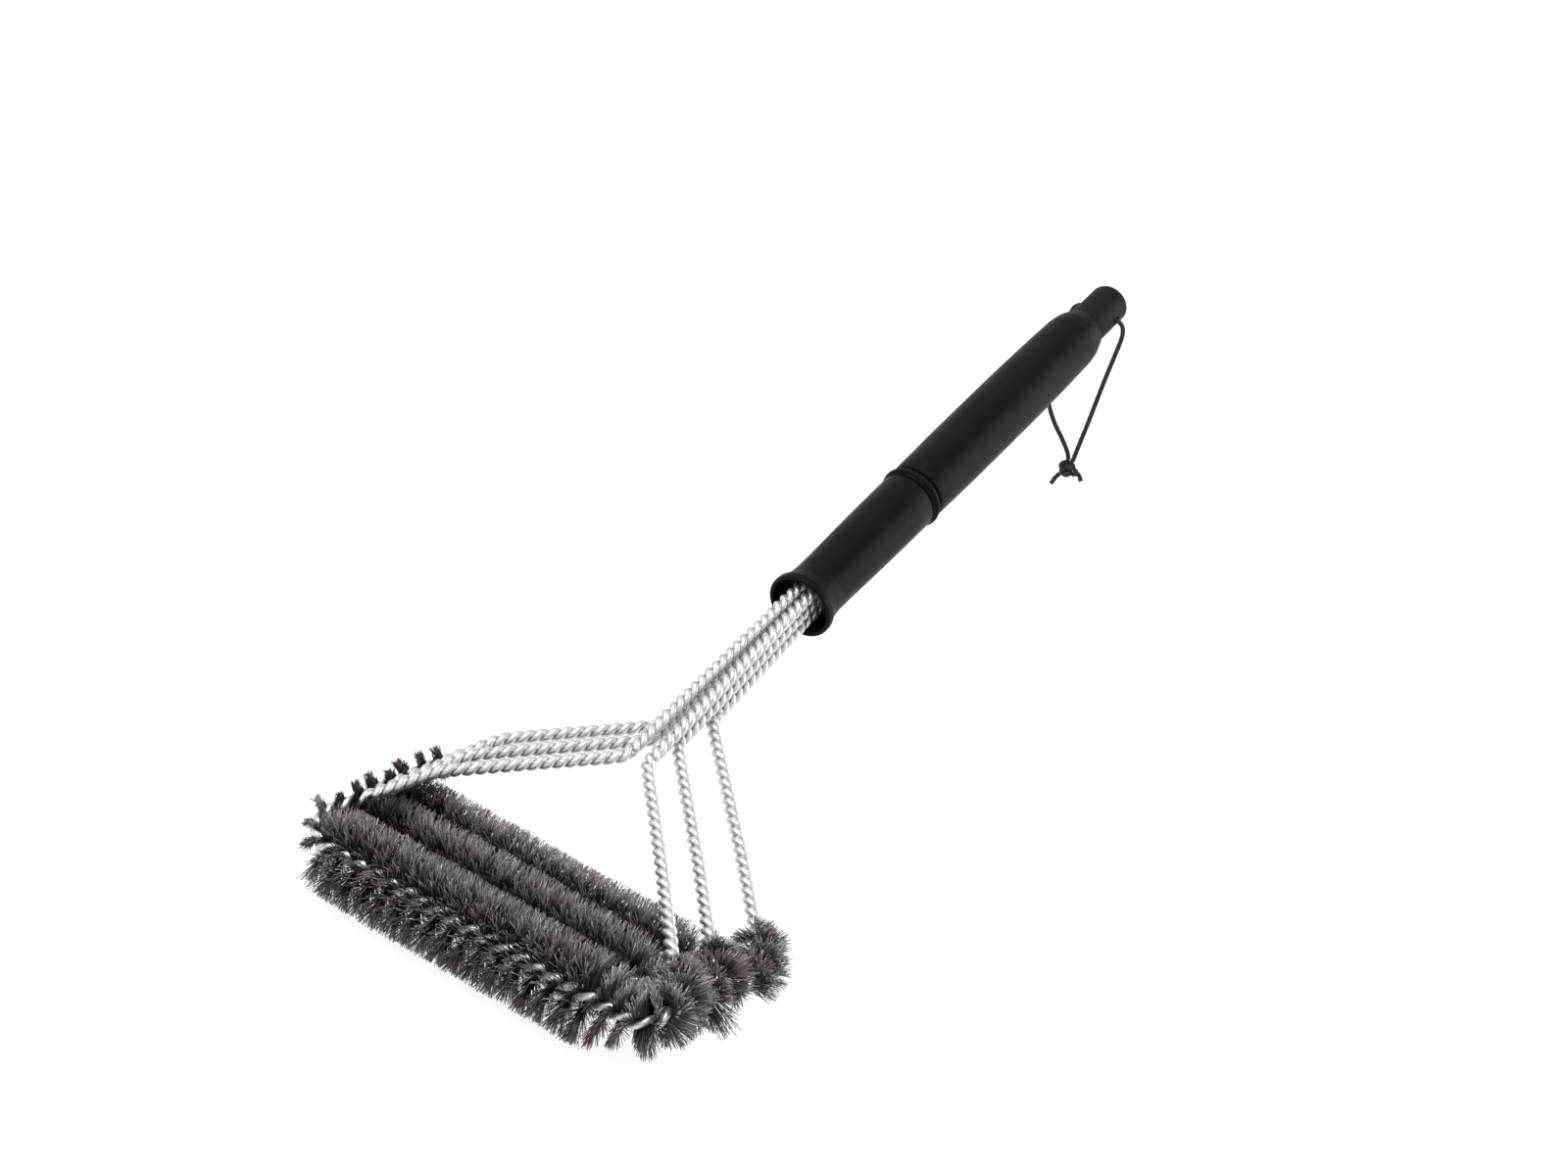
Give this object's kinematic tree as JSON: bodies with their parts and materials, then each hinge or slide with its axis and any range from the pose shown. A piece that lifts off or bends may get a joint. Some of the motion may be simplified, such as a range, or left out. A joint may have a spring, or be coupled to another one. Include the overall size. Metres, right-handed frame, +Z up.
{
  "type": "grill cleaning brush",
  "caption": "Long-handled wire grill brush with parallel twisted-wire bristle rows on triangular loops, a ringed round grip and a hanging cord loop.",
  "frame": {"origin": "centre of the flat contact face under the middle bristle row", "axes": "+X along the bristle rows, +Y from the front row towards the end of the grip, +Z up, away from the surface that the rows stand on"},
  "size_m": [0.1725, 0.4199, 0.1934],
  "materials": {
    "twisted_wire": "bright drawn stainless wire, two strands twisted together",
    "bristles": "fine crimped stainless bristles, dark between the tips with a brown cast",
    "grip_plastic": "satin black moulded plastic with a fine grain",
    "cap_plastic": "satin black moulded plastic, a shade lighter",
    "black_cord": "thin black braided cord"
  },
  "bodies": {
    "brush": {"front_row_core": "twisted_wire", "front_left_shank": "twisted_wire", "front_left_arm": "twisted_wire", "front_right_shank": "twisted_wire", "front_right_arm": "twisted_wire", "middle_row_core": "twisted_wire", "middle_left_shank": "twisted_wire", "middle_left_arm": "twisted_wire", "middle_right_shank": "twisted_wire", "middle_right_arm": "twisted_wire", "rear_row_core": "twisted_wire", "rear_left_shank": "twisted_wire", "rear_left_arm": "twisted_wire", "rear_right_shank": "twisted_wire", "rear_right_arm": "twisted_wire", "front_bristle_row": "bristles", "front_left_tuft": "bristles", "front_right_tuft": "bristles", "middle_bristle_row": "bristles", "middle_left_tuft": "bristles", "middle_right_tuft": "bristles", "rear_bristle_row": "bristles", "rear_left_tuft": "bristles", "rear_right_tuft": "bristles", "front_sleeve": "grip_plastic", "joint_ring": "grip_plastic", "rear_sleeve": "grip_plastic", "end_cap": "cap_plastic", "core_plug": "cap_plastic", "tail_band": "twisted_wire"},
    "hang_loop": {"cord_near_strand": "black_cord", "cord_far_strand": "black_cord", "cord_knot": "black_cord", "cord_left_tail": "black_cord", "cord_right_tail": "black_cord"}
  },
  "joints": [
    {"name": "cord_swing", "type": "hinge", "parent": "brush", "child": "hang_loop", "pos_m": [0, 0.36911, 0.18251], "axis": [1, 0, 0], "range_deg": [-45, 260]}
  ]
}
